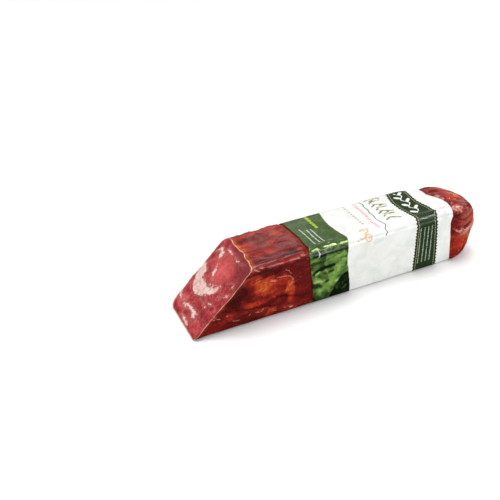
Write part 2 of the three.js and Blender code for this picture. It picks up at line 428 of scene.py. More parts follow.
# Distance round the bar at which the front would have no height if its low edge were sharp.
FRONT_FOOT = LEGS[0][0] + CORNER_RADII[0] * (pi / 2 - 1)


def line_distance(points, x, a):
    """Distance of each place (x, a) to a line through the points."""
    away = []
    for (x0, a0), (x1, a1) in zip(points, points[1:]):
        dx, da = x1 - x0, a1 - a0
        share = np.clip(((x - x0) * dx + (a - a0) * da) / (dx * dx + da * da), 0, 1)
        away.append(np.hypot(x - x0 - share * dx, a - a0 - share * da))
    return np.minimum.reduce(away)


skin_x = np.array([vertex.co.x for vertex in casing.data.vertices]) / MM
skin_round = girth_places(casing)
skin_up = np.array(skin_round) - FRONT_FOOT
# Where the pale glints are painted: along the pinched threads and the short folds.
threads = np.array([sum(crinkle(x, around, *thread, spread=0.62) for thread in CRINKLES)
                    if x < LABEL_START else 0.0 for x, around in zip(skin_x, skin_round)])
frayed = np.array([noise.noise(Vector((x / 1.3, up / 1.3, 3.0))) for x, up in zip(skin_x, skin_up)])
for fold in FOLDS:
    threads += 0.75 * np.exp(-((line_distance(fold, skin_x, skin_up) + 0.3 * frayed) / 0.5) ** 2)
cracks = [line_distance(crack, skin_x, skin_up + 0.6 * frayed) for crack in CRACKS]
write(casing, "crinkles_and_glints", threads)
write(casing, "crack", np.minimum.reduce(cracks))


def gathered(point, around):
    """A painted highlight on the gathered end: pale on the crests of its upper folds, more towards the
    closed end, and one ragged pale patch by the label's front corner."""
    folded = max(0.0, pleats(point.x, around, 0.2))
    painted_highlight = 0.30 * folded ** 2 * smooth(point.z, 12, 22)
    painted_highlight *= smooth(point.x, TAIL_START + 3, TAIL_START + 13)
    along = (point.x - LABEL_END - 2.6) / 3.8
    across = (around - TOP_FRONT_EDGE - 1.2) / 2.7
    ragged = 0.5 * noise.noise(point / 2)
    patch = 1 - smooth((along ** 2 + across ** 2) ** 0.5 + ragged, 0.7, 1.1)
    return painted_highlight + 0.75 * patch


note(casing, "gathered", gathered)


def linear(hex_colour):
    """A colour socket's value for an sRGB hex colour."""
    shares = [int(hex_colour[i:i + 2], 16) / 255 for i in (1, 3, 5)]
    return [c / 12.92 if c <= 0.04045 else ((c + 0.055) / 1.055) ** 2.4 for c in shares] + [1.0]


def feed(node, inputs):
    """Sets a node's input sockets to numbers or hex colours, or links them to other nodes' outputs."""
    for socket, value in dict(inputs).items():
        if isinstance(value, bpy.types.NodeSocket):
            node.id_data.links.new(value, node.inputs[socket])
        else:
            node.inputs[socket].default_value = linear(value) if isinstance(value, str) else value


def add_node(tree, kind, inputs=(), out=0, stops=(), **settings):
    """Adds one shader node with its settings, values, links and colour stops, and gives its output."""
    made = tree.nodes.new("ShaderNode" + kind)
    for name, value in settings.items():
        setattr(made, name, value)
    feed(made, inputs)
    for position, colour in stops[2:]:
        made.color_ramp.elements.new(position)
    for index, (position, colour) in enumerate(stops):
        made.color_ramp.elements[index].position = position
        made.color_ramp.elements[index].color = linear(colour)
    return made.outputs[out]


def new_material(name):
    """A material, what adds a node to it, and its one surface shader."""
    made = bpy.data.materials.new(name)
    made.use_nodes = True
    return made, partial(add_node, made.node_tree), made.node_tree.nodes["Principled BSDF"]


def dried_collagen_casing():
    """Collagen casing dried onto cured meat: clear amber skin with a film of oil, over maroon lean and
    orange paprika fat. It looks deep red and glossy, with streaks drawn out along the bar."""
    material, add, shader = new_material("dried_collagen_casing")
    place = add("TexCoord", out="Object")
    placed, folded, near_crack, from_cut, crinkles_and_glints = (
        add("Attribute", out="Fac", attribute_name=name)
        for name in ("tone", "gathered", "crack", "from_cut", "crinkles_and_glints"))
    # Patterns drawn out along the bar, as (length, breadth, detail, roughness, distortion): blotches of
    # muscle and fat, streaks of the casing, and its wrinkles that are too fine for the mesh.
    patterns = []
    for length, breadth, detail, roughness, distortion in (
            (0.014, 0.006, 3.0, 0.42, 0.9), (0.020, 0.006, 1.5, 0.5, 1.2), (0.009, 0.004, 1.0, 0.5, 0.7)):
        drawn_out = add("Mapping", {"Vector": place, "Scale": (1 / length, 1 / breadth, 1 / breadth)})
        patterns.append(add("TexNoise", {"Vector": drawn_out, "Scale": 1.0, "Detail": detail,
                                         "Roughness": roughness, "Distortion": distortion}))
    blotches, streaks, wrinkles = patterns
    # Grain of minced fat, about 2 mm.
    grain = add("TexNoise", {"Vector": place, "Scale": 1 / 0.0022, "Detail": 3.0, "Roughness": 0.6,
                             "Distortion": 0.6})
    broken = add("MapRange", {"Value": grain, "From Min": 0.35, "From Max": 0.65, "To Min": 0.75,
                              "To Max": 1.25})
    normal = add("NewGeometry", out="Normal")
    upward = add("SeparateXYZ", {"Vector": normal}, out="Z")
    upward = add("MapRange", {"Value": upward, "From Min": 0.3, "From Max": 0.95})
    # The tone runs from lean to fat. Most of it is the meat behind; the top is painted a little lighter, as
    # the light from above would make it.
    tone = add("Math", {0: blotches, 1: 0.95, 2: -0.275}, operation="MULTIPLY_ADD")
    for part, weight in ((streaks, 0.14), (grain, 0.14), (placed, broken), (upward, 0.06)):
        tone = add("Math", {0: part, 1: weight, 2: tone}, operation="MULTIPLY_ADD")
    colour = add("ValToRGB", {"Fac": tone}, stops=(
        (0.00, "#470b08"), (0.18, "#5e0e0a"), (0.32, "#6c120e"), (0.46, "#801a10"), (0.60, "#9b2412"),
        (0.74, "#b23616"), (0.88, "#be4d1b"), (1.00, "#cb6a28")))
    # Painted sheen: a dusty pink laid along the streaks on top-facing skin, standing in for the soft gloss
    # on the top.
    painted_sheen = add("MapRange", {"Value": streaks, "From Min": 0.46, "From Max": 0.70, "To Max": 0.28},
                interpolation_type="SMOOTHSTEP")
    painted_sheen = add("Math", {0: painted_sheen, 1: upward}, operation="MULTIPLY")
    # Painted highlight: the gathered end's fold crests and the patch by the label turn a pale pink.
    folds = add("Math", {0: folded, 1: broken}, operation="MULTIPLY")
    # Cracks are dark and broken.
    crack = add("MapRange", {"Value": near_crack, "From Min": 0.75, "From Max": 0.15, "To Max": 1.1})
    crack = add("Math", {0: crack, 1: blotches}, operation="MULTIPLY", use_clamp=True)
    # The cut shows the wall as a peach line, and amber oil has crept under the skin next to it.
    amber = add("MapRange", {"Value": from_cut, "From Min": 3.2, "From Max": 0.2, "To Max": 0.6},
                interpolation_type="SMOOTHSTEP")
    amber = add("Math", {0: amber, 1: blotches}, operation="MULTIPLY")
    more = add("Math", {0: upward, 1: 1.2, 2: 0.5}, operation="MULTIPLY_ADD")
    amber = add("Math", {0: amber, 1: more}, operation="MULTIPLY", use_clamp=True)
    wall = add("MapRange", {"Value": from_cut, "From Min": 0.22, "From Max": 0.02})
    patchy = add("MapRange", {"Value": blotches, "From Min": 0.42, "From Max": 0.56, "To Min": 0.45})
    wall = add("Math", {0: wall, 1: patchy}, operation="MULTIPLY")
    # Beads of the pinched threads and folds, 1 mm: raised by the bump, and with a pale glint painted on
    # them.
    beads = add("TexNoise", {"Vector": place, "Scale": 1 / 0.0012, "Distortion": 0.8})
    beads = add("Math", {0: beads, 1: crinkles_and_glints}, operation="MULTIPLY")
    painted_highlight = add("MapRange", {"Value": beads, "From Min": 0.20, "From Max": 0.44, "To Max": 0.7})
    for share, tint in ((painted_sheen, "#a24c48"), (folds, "#cc7d6c"), (crack, "#260504"), (amber, "#c8601f"),
                        (wall, "#f2c2aa"), (painted_highlight, "#e8a08c")):
        colour = add("MixRGB", {"Fac": share, "Color1": colour, "Color2": tint})
    rough = add("MapRange", {"Value": grain, "From Min": 0.3, "From Max": 0.7, "To Min": 0.17,
                             "To Max": 0.30})
    relief = add("Bump", {"Height": wrinkles, "Strength": 0.13, "Distance": 0.0005})
    relief = add("Bump", {"Height": beads, "Strength": 0.8, "Distance": 0.0008, "Normal": relief})
    relief = add("Bump", {"Height": crack, "Strength": 0.6, "Distance": 0.0005, "Normal": relief},
                 invert=True)
    feed(shader, {"Base Color": colour, "Roughness": rough, "Normal": relief, "IOR": 1.42,
                  "Coat Weight": 0.08, "Coat Roughness": 0.12})
    return material


casing.data.materials.append(dried_collagen_casing())
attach(casing, "root")
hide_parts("casing")


# -------------------------------- meat
# Coarse-ground cured meat, one firm piece: red lean bound round seams of cream fat. The knife has
# left a flat, slightly moist face, with the fat standing a touch proud of the lean.

MEAT_INSET = SKIN + 0.05    # just inside the casing's wall
FACE_RINGS = 78
FAT_PROUD = 0.16            # how far the fat stands out of the cut
FACE_CENTRE = Vector((cut_x(0.0, HEIGHT / 2), 0.0, HEIGHT / 2))
# Seams of fat on the cut, as (across, up, half-width) from its middle; across runs to the front.
FAT_SEAMS = (
    ((-17, 5, 1.6), (-16.4, 2.4, 2.7), (-14.4, -1.6, 3.2), (-10.6, -4.8, 4.3), (-6.6, -5.4, 4),
     (-2.8, -4.6, 3.1), (0.4, -3.2, 2.3), (3.2, -1, 1.6), (5.2, 2.2, 1.2), (6.2, 4.2, 0.6)),
    ((-15.4, 17.6, 0.9), (-13.1, 16.6, 1.3), (-11.8, 15.2, 1.2), (-11, 13.5, 0.7)),
    ((-8.7, 10.5, 0.3), (-7.9, 8.3, 0.7), (-6.4, 6.3, 0.6), (-4.7, 4.5, 0.4), (-2.4, 3, 0)),
    ((0.8, 1.4, 0), (3, 2.9, 0.2)), ((9.2, 9.2, 0), (9.8, 9.8, 0.2)), ((13.8, 9.2, 0), (14.4, 9.8, 0.1)),
    ((-7.7, -18, 0.5), (-4.9, -16.8, 0.8), (-1, -16.3, 0.9), (2.5, -16, 1.3), (6, -16.1, 0.9),
     (10.2, -15, -0.1)),
    ((3.8, -16.6, 0.9), (6.4, -17.7, 0.8), (8.6, -17.9, 0.1)),
    ((-17.2, -16.1, 0.4), (-15.3, -17.5, 0.5), (-12.1, -17.9, 0.6), (-10.3, -17.5, 0.1)),
    ((-10.7, -17.3, 0.1), (-9.2, -15, -0.1)),
    ((-0.6, -8.3, 0), (3.7, -8.6, 0), (7.8, -9, -0.2)),
    ((3.3, -6.6, -0.1), (7.6, -6.4, 0), (11.7, -5.7, -0.2)),
    ((-16.2, -12.3, 0.3), (-17, -10.5, 0.2)),
    ((-19, -12, 0.2), (-18.6, -11.6, 0.2)),
    ((-15.4, 17.6, 0.1), (-16.6, 16.6, 0), (-18.2, 14, -0.1), (-19.6, 10.4, -0.3)),
    ((-11, 20.3, -0.2), (-6.8, 20.5, -0.1), (2, 20.5, -0.2), (8.3, 21.1, -0.3)),
    ((-3, -22.6, 0), (-1.5, -22.4, 0.3), (3.5, -23.3, 0.4), (6.9, -23.8, 0.1)),
    ((11.6, 1, -0.3), (14.8, 2.8, -0.2), (16.4, 6, -0.3)),
    ((-10.6, -0.4, -0.9), (-6, -0.6, -0.8), (-1.6, 0.4, -0.8)),
    ((-13, 7.6, -0.9), (-11, 10.6, -1)),
)


def to_face(point):
    """A point in millimetres as (across, up) on the cut, from its middle."""
    offset = point - FACE_CENTRE
    return offset.dot(CUT_ACROSS), offset.dot(CUT_UP)


def fat_distance(across, up):
    """Millimetres from a place on the cut to the nearest seam of fat, below 0 inside it."""
    nearest = 9.0
    for seam in FAT_SEAMS:
        for (x0, y0, half0), (x1, y1, half1) in zip(seam, seam[1:]):
            dx, dy = x1 - x0, y1 - y0
            share = ((across - x0) * dx + (up - y0) * dy) / (dx * dx + dy * dy)
            share = min(1.0, max(0.0, share))
            away = ((across - x0 - share * dx) ** 2 + (up - y0 - share * dy) ** 2) ** 0.5
            nearest = min(nearest, away - half0 - share * (half1 - half0))
    return nearest


# Rings of the solid: from the middle of the cut to its edge, then back through the bar to its end.
meat_rings = [("face", step / FACE_RINGS) for step in range(FACE_RINGS + 1)]
meat_rings += [("side", (reach, LABEL_START, 1.0)) for reach in even(0.0, 1.0, 16)[1:]]
meat_rings += [("side", (1.0, x, 1.0)) for x in even(LABEL_START, TAIL_START, 12)]
meat_rings += [("side", ring) for ring in tail_rings(MEAT_INSET, 14)]


def meat_place(ring, around):
    kind, where = ring
    if kind == "side":
        return skin_point(*where, around, MEAT_INSET)
    edge = skin_point(0.0, LABEL_START, 1.0, around, MEAT_INSET)
    point = FACE_CENTRE.lerp(edge, where)
    across, up = to_face(point)
    proud = FAT_PROUD * smooth(-fat_distance(across, up), -0.5, 0.6)
    uneven = 0.22 * noise.noise(point / 6) + 0.08 * noise.noise(point / 1.6)
    return point + CUT_NORMAL * (proud + uneven) * smooth(1 - where, 0.0, 0.06)


meat = finish_mesh("cured_meat", wrapped_grid(meat_rings, STEPS_ROUND, meat_place))
note(meat, "fat", lambda point, around: fat_distance(*to_face(point)))
note(meat, "across", lambda point, around: to_face(point)[0])
note(meat, "up", lambda point, around: to_face(point)[1])


def marbled_cured_meat():
    """Cured pork, cut: moist rose-red lean with a fine grain, darker where it has dried under the skin,
    and waxy cream fat whose seams feather out into the lean."""
    material, add, shader = new_material("marbled_cured_meat")
    place = add("TexCoord", out="Object")
    fat, across, up = (add("Attribute", out="Fac", attribute_name=name) for name in ("fat", "across", "up"))
    # Patterns, as (size in metres, detail, roughness, distortion).
    ragged, bays, specks, bundles, fibres, veins = (
        add("TexNoise", {"Vector": place, "Scale": 1 / size, "Detail": detail, "Roughness": roughness,
                         "Distortion": distortion})
        for size, detail, roughness, distortion in (
            (0.0024, 5.0, 0.66, 0.7),   # ragged edges of the seams
            (0.0055, 2.0, 0.5, 0.0),    # their bays and tongues
            (0.0011, 3.0, 0.7, 0.0),    # specks of fat ground into the lean
            (0.0070, 4.0, 0.6, 0.8),    # bundles of lean
            (0.0009, 4.0, 0.7, 0.0),    # their grain
            (0.0110, 3.0, 0.5, 1.6)))   # thin pale veins of gristle
    edge = add("Math", {0: ragged, 1: 5.4, 2: fat}, operation="MULTIPLY_ADD")
    edge = add("Math", {0: bays, 1: 3.8, 2: edge}, operation="MULTIPLY_ADD")
    edge = add("Math", {0: edge, 1: -4.6}, operation="ADD")
    seam = add("MapRange", {"Value": edge, "From Min": 0.35, "From Max": -0.75, "To Max": 0.95},
               interpolation_type="SMOOTHSTEP")
    halo = add("MapRange", {"Value": edge, "From Min": 2.4, "From Max": 0.0, "To Max": 0.5},
               interpolation_type="SMOOTHSTEP")
    specks = add("MapRange", {"Value": specks, "From Min": 0.60, "From Max": 0.74, "To Max": 0.55})
    lean = add("ValToRGB", {"Fac": bundles}, stops=(
        (0.25, "#6c0e17"), (0.42, "#991f28"), (0.56, "#b8373d"), (0.76, "#e26a68")))
    fibres = add("MapRange", {"Value": fibres, "From Min": 0.3, "From Max": 0.7, "To Min": 0.80,
                              "To Max": 1.20})
    lean = add("MixRGB", {"Fac": 1.0, "Color1": lean, "Color2": fibres}, blend_type="MULTIPLY")
    # The veins run where their pattern crosses its middle.
    veins = add("Math", {0: veins, 1: 0.5}, operation="SUBTRACT")
    veins = add("Math", {0: veins}, operation="ABSOLUTE")
    veins = add("MapRange", {"Value": veins, "From Min": 0.014, "From Max": 0.0, "To Max": 0.6})
    # The high front corner has dried to a dusky purple.
    dry = add("Math", {0: across, 1: 0.55, 2: up}, operation="MULTIPLY_ADD")
    dry = add("Math", {0: bundles, 1: 9.0, 2: dry}, operation="MULTIPLY_ADD")
    dry = add("MapRange", {"Value": dry, "From Min": 19.0, "From Max": 29.0, "To Max": 0.72},
              interpolation_type="SMOOTHSTEP")
    # Two places, as (across, up, inner and outer radius, strength): the lean is brightest in the upper
    # middle, and a dark clot lies near the low front edge.
    spots = []
    for right, above, inner, outer, most in ((-3.5, 11.0, 0.0, 14.0, 0.95), (13.5, -6.7, 0.6, 2.4, 0.75)):
        away = add("CombineXYZ", {"X": across, "Y": up})
        away = add("VectorMath", {0: away, 1: (right, above, 0.0)}, out="Value", operation="DISTANCE")
        spots.append(add("MapRange", {"Value": away, "From Min": outer, "From Max": inner, "To Max": most},
                         interpolation_type="SMOOTHSTEP"))
    fresh, clot = spots
    uneven = add("MapRange", {"Value": ragged, "From Min": 0.35, "From Max": 0.65, "To Min": 0.45,
                              "To Max": 1.1})
    fresh = add("Math", {0: fresh, 1: uneven}, operation="MULTIPLY", use_clamp=True)
    for share, tint in ((veins, "#d98e88"), (dry, "#7d2427"), (fresh, "#ea6564"), (clot, "#45090f"),
                        (specks, "#c8807c"), (halo, "#c06a66")):
        lean = add("MixRGB", {"Fac": share, "Color1": lean, "Color2": tint})
    waxy = add("ValToRGB", {"Fac": ragged}, stops=(
        (0.25, "#fdf0e7"), (0.50, "#f1d1c5"), (0.60, "#e4b3a8"), (0.72, "#cf8e84")))
    colour = add("MixRGB", {"Fac": seam, "Color1": lean, "Color2": waxy})
    rough = add("MapRange", {"Value": fibres, "From Min": 0.80, "From Max": 1.20, "To Min": 0.55,
                             "To Max": 0.36})
    relief = add("Bump", {"Height": ragged, "Strength": 0.35, "Distance": 0.0004})
    relief = add("Bump", {"Height": fibres, "Strength": 0.3, "Distance": 0.0002, "Normal": relief})
    feed(shader, {"Base Color": colour, "Roughness": rough, "Normal": relief, "IOR": 1.4,
                  "Subsurface Weight": 0.18, "Subsurface Radius": (1.0, 0.35, 0.25),
                  "Subsurface Scale": 0.0012})
    return material


meat.data.materials.append(marbled_cured_meat())
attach(meat, "root")
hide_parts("meat")


# -------------------------------- label
# A sleeve of printed polypropylene film, shrunk round the bar and lapped along its underside. It has
# a green leafy band, a white field with a drawn sprig, a dark green ribbon and a white end.

FILM = 0.12
LABEL_STEPS_ROUND = 340
EDGE_WAVE = 0.3             # how far the cut edges of the film wander
LAP_AT = GIRTH - 12         # the lap, on the underside
LAP_STEP = 0.12


def label_relief(x, around, y, z):
    """Tucks and drawn wrinkles of the shrunk film, and the lip it makes along the top front edge."""
    start = bump(x, LABEL_START, 7.0)
    drawn = noise.fractal(Vector((x / 24, y / 4.0, z / 4.0)), 1.0, 2.0, 2)
    puckers = noise.noise(Vector((x / 7, y / 4, z / 4 + 9)))
    lip = 0.5 + 0.9 * noise.noise(Vector((x / 6, 3.0, 1.0)))
    folds = 0.9 * lip * bump(around, TOP_FRONT_EDGE + 3.0, 2.4)
    folds -= 0.45 * bump(around, TOP_FRONT_EDGE - 1.4, 0.9)
    return (0.07 + 0.14 * start) * drawn + 0.12 * puckers + folds


def label_place(ring, around):
    x, inset = ring
    (y, z), outward = outline(around)
    share = (x - LABEL_START) / (LABEL_END - LABEL_START)
    wave = EDGE_WAVE * noise.noise(Vector((y / 6, z / 6, 4.0 if share < 0.5 else 8.0)))
    wave += creep(START_CREEP if share < 0.5 else END_CREEP, around)
    relief = dents(x, y, z) + label_relief(x, around, y, z) * min(1.0, 8 * min(share, 1 - share) + 0.4)
    relief -= LAP_STEP * smooth(around, LAP_AT, LAP_AT + 0.3)
    relief *= off_table(z)
    y += outward.x * (relief - inset)
    z = max(z + outward.y * (relief - inset), inset + 0.02)
    return Vector((x + wave * abs(2 * share - 1) ** 6, y, z))


label_rings = [(x, 0.0) for x in even(LABEL_START, LABEL_END, 215)] + [(LABEL_END, 0.0)]
label_rings += [(x, FILM) for x in even(LABEL_END, LABEL_START, 8)] + [(LABEL_START, FILM)]
label_rings += [(LABEL_START, 0.0)]
label = finish_mesh("label_film", wrapped_grid(label_rings, LABEL_STEPS_ROUND, label_place))

# The print, laid out flat: x from the label's first edge, a round the bar from its top front edge,
# up and over the top where it is above 0, down the front where it is below.
print_x = np.array([vertex.co.x for vertex in label.data.vertices]) / MM - LABEL_START
print_a = np.array(girth_places(label)) - TOP_FRONT_EDGE


def over_print(wavelength, seed):
    """A smooth noise over the print."""
    return np.array([noise.noise(Vector((x / wavelength, a / wavelength, seed)))
                     for x, a in zip(print_x, print_a)])


def stroke(*places):
    """Distance of each point of the print to a line through the places."""
    return line_distance(places, print_x, print_a)


def past(edge):
    """How far each point of the print is past an edge that runs round the bar through (a, x)."""
    places, edges = zip(*edge)
    return print_x - np.interp(print_a, places, edges)


def zigzag(pitch):
    """A triangle wave round the bar, from -1 to 1."""
    return 2 * np.abs(2 * ((print_a / pitch) % 1.0) - 1) - 1


def dashed(x, line_x, start, end, pitch, width, fill=0.6):
    """A broken line round the bar at line_x."""
    across = np.abs(x - line_x) - width
    breaks = (np.abs(((print_a - start) / pitch) % 1.0 - 0.5) - fill / 2) * pitch
    return np.maximum.reduce([across, breaks, start - print_a, print_a - end])


def discs(*places):
    """How far each point of the print is outside the nearest disc of (x, a, radius)."""
    return np.minimum.reduce([np.hypot(print_x - x, print_a - a) - radius for x, a, radius in places])


def sprig():
    """Gold brush strokes that branch from a stem across the top."""
    strokes = []
    for step in range(7):
        foot = 9.0 + 3.9 * step
        lean = 1 if step % 2 else -1
        strokes.append(stroke(
            (55.2 + 0.5 * lean, foot), (58.6, foot + 1.6), (63.6 - 0.6 * lean, foot + lean)))
        strokes.append(stroke((57.0, foot + 1.9), (60.8, foot + 3.4 * (0.6 + 0.4 * lean))))
    return np.minimum.reduce(strokes) - 0.50 - 0.45 * wobble


def vine():
    """A white vine of small leaves along the ribbon's top."""
    drawn = np.abs(print_x - VINE_X - 1.5 * np.sin(tau * print_a / 8.4)) - 0.38
    for step in range(6):
        side = 1 if step % 2 else -1
        x = print_x - VINE_X - 2.3 * side
        a = print_a - 9.2 - 4.2 * step
        along = x * cos(LEAF_TURN) + a * sin(LEAF_TURN) * side
        across = a * cos(LEAF_TURN) - x * sin(LEAF_TURN) * side
        drawn = np.minimum(drawn, np.hypot(along / 2.3, across) - 1)
    return np.maximum(drawn, np.maximum(7.0 - print_a, print_a - 31.5))


wobble = over_print(3.0, 2.0)           # bends the hand-drawn strokes
speck = np.abs(over_print(0.9, 6.0))    # breaks up small print
VINE_X = 76.0
LEAF_TURN = 0.7
ROW_PITCH = 2.1
LEAFY_EDGE = (
    (-34, 25.6), (-27, 25.2), (-21, 24.4), (-14, 23), (-9, 22.6), (-4, 23.1), (0, 23.4), (3, 24.2),
    (8, 23.6), (14, 22.6), (20, 22.3), (27, 23.2), (35, 24.8), (46, 24), (60, 25.4), (76, 24.6), (90, 25.6))
RIBBON_START = (
    (-34, 69), (-22, 69.2), (-8, 69.2), (0, 69.4), (5, 69.8), (9, 69.2), (16, 67.8), (23, 67.4), (28, 68.6),
    (34, 70.8), (46, 69), (60, 69.6), (90, 69))
RIBBON_END = (
    (-34, 85.4), (-22, 85), (-8, 84), (-2, 83.6), (3, 84.6), (9, 85), (14, 83.8), (18, 82.8), (24, 83),
    (30, 83.9), (46, 85), (60, 84.4), (90, 85))
DARK_CORNER = ((-34, 10.6), (-27.4, 14.7), (-22.2, 18), (-19.6, 20.3), (-17.6, 26), (-16, 40))
# Light and shade of the leafy band: strokes as (half-width, tone, places), light above 0. Two are painted
# shadow of the film's folds: the dark band just under the pale line along the top front edge, and the dark
# patch on the top at (20, 34).
LEAF_STROKES = (
    (0.6, -0.35, (0, -6.8), (7.2, -7.6), (18, -4.8)),
    (0.9, -1, (1.2, -14.7), (3.5, -13), (7.7, -11.9), (14.2, -11.5)),
    (0.8, 1, (2.6, -14.7), (4.6, -13.9)), (0.8, -0.7, (11, -15.4), (13.8, -15)),
    (1, 0.65, (2, -20.2), (5, -19.8), (8, -20.4)), (1, -0.7, (9.2, -21.4), (10.2, -20.8)),
    (1.4, -0.6, (0, -21.6), (5, -23.6)), (2.8, 0.42, (19.6, -10.4), (14.6, -18.6), (6.3, -27)),
    (0.8, 0.7, (20.8, -29.4), (22.6, -27.6)), (0.7, 0.5, (15.8, -22.8), (17.4, -21.4)),
    (3, -0.4, (0, -30), (8, -33)), (1.6, 0.2, (10, -6), (22, -7)), (1.1, -0.85, (1, -2.6), (24, -2.4)),
    (2.4, -0.5, (19, 33), (21, 36)), (2.6, 0.45, (2, 52), (10, 47), (20, 50)),
    (0.8, -0.8, (1, 60), (9, 57), (23, 63)), (2.2, 0.4, (6, 66), (14, 69), (22, 66)))

# The print as fields over the label. Apart from the place and the shade, each is below 0 where its ink
# is laid.
leafy = past(LEAFY_EDGE) + 0.25 * wobble
shade = 0.0
for half_width, strength, *places in LEAF_STROKES:
    shade = shade + strength * np.exp(-(((stroke(*places) + 0.5 * wobble) / half_width) ** 2))
shade = shade - 0.95 * np.clip(0.5 + past(DARK_CORNER) / 1.2, 0, 1) * (print_a < -14)
ribbon_in = past(RIBBON_START)
ribbon_out = past(RIBBON_END)
stitches = np.minimum(np.abs(ribbon_in - 1.6), np.abs(ribbon_out + 1.6)) - 0.26
pale_line = np.abs(print_a - 0.9 - 0.5 * wobble) - 0.55 - 0.35 * np.clip(1 - np.abs(print_x - 7) / 4, 0, 1)
slices = discs((36.2, 4.4, 2.3), (33, 1.8, 2.5), (36.8, -1, 2))
dots = ((36, 4.9), (32.4, 1.2), (33.9, 2.7), (37.3, -0.9), (39.6, 6.4), (30, -1.2))
tiny = np.minimum.reduce([np.abs(print_x - line) for line in (72.2, 75, 77.6, 80.2)]) - 0.46 + 0.9 * speck
rows = (np.abs((print_a / ROW_PITCH) % 1.0 - 0.5) - 0.2) * ROW_PITCH + 0.5 * speck + 0.12
row_indent = 5 * np.abs(np.floor(print_a / ROW_PITCH) % 3 - 1)
marks = {
    "print_x": print_x,
    "print_a": print_a,
    "leafy": leafy,
    "shade": shade,
    "ribbon": np.maximum(-ribbon_in, ribbon_out) + 0.42 * zigzag(2.1),
    "stitches": np.maximum(stitches, 0.5 * zigzag(1.5) - 0.22),
    "writing": np.minimum.reduce([
        stroke((4.8, 22.5), (4.9, 14.2), (5, 7.8), (5.2, 3.4), (3.8, 0.8), (4.8, -1.9), (3.9, -3.6)),
        stroke((8.2, 19.8), (7.9, 12.6), (8.4, 6)),
        stroke((10.6, 19.5), (10.5, 12.1), (11.1, 5.5))]) - 0.34 + 0.35 * speck,
    "bar": dashed(print_x, 14.8, 19.3, 34.6, 2.55, 1.0, 0.82),
    "pale_line": np.maximum(pale_line + 0.5 * speck, np.maximum(leafy + 0.3, -print_x)),
    "gold": sprig() + 0.25 * speck,
    "grey": stroke((51, 33), (52.1, 30.1), (50.9, 26.6), (51.2, 23.4), (50.1, 19.8), (50.6, 16.6),
                   (49.8, 12.9), (50.6, 7.6), (51.2, 4.7), (48.4, 1.2), (49.4, -0.8), (48, -2.4)) - 0.34,
    "pink": dashed(print_x + 0.5 * wobble - 0.05 * print_a, 45.6, 2.6, 34.4, 1.7, 0.85) + 0.4 * speck,
    "brown": dashed(print_x + 0.6 * wobble, 40.0, 10.6, 33.6, 2.3, 0.8) + 0.4 * speck,
    "slice_inside": slices,
    "slice_ring": np.minimum(np.abs(slices + 0.2 * wobble) - 0.30, discs(*((x, a, 0.55) for x, a in dots))),
    "vine": vine(),
    "tiny": np.maximum(tiny, np.maximum(print_a + 4.5, -28.6 - print_a)),
    "rows": np.maximum.reduce([rows, 44 - print_a, print_a - 62, 30 - print_x, print_x - 62 + row_indent]),
}
for name, field in marks.items():
    write(label, name, field)


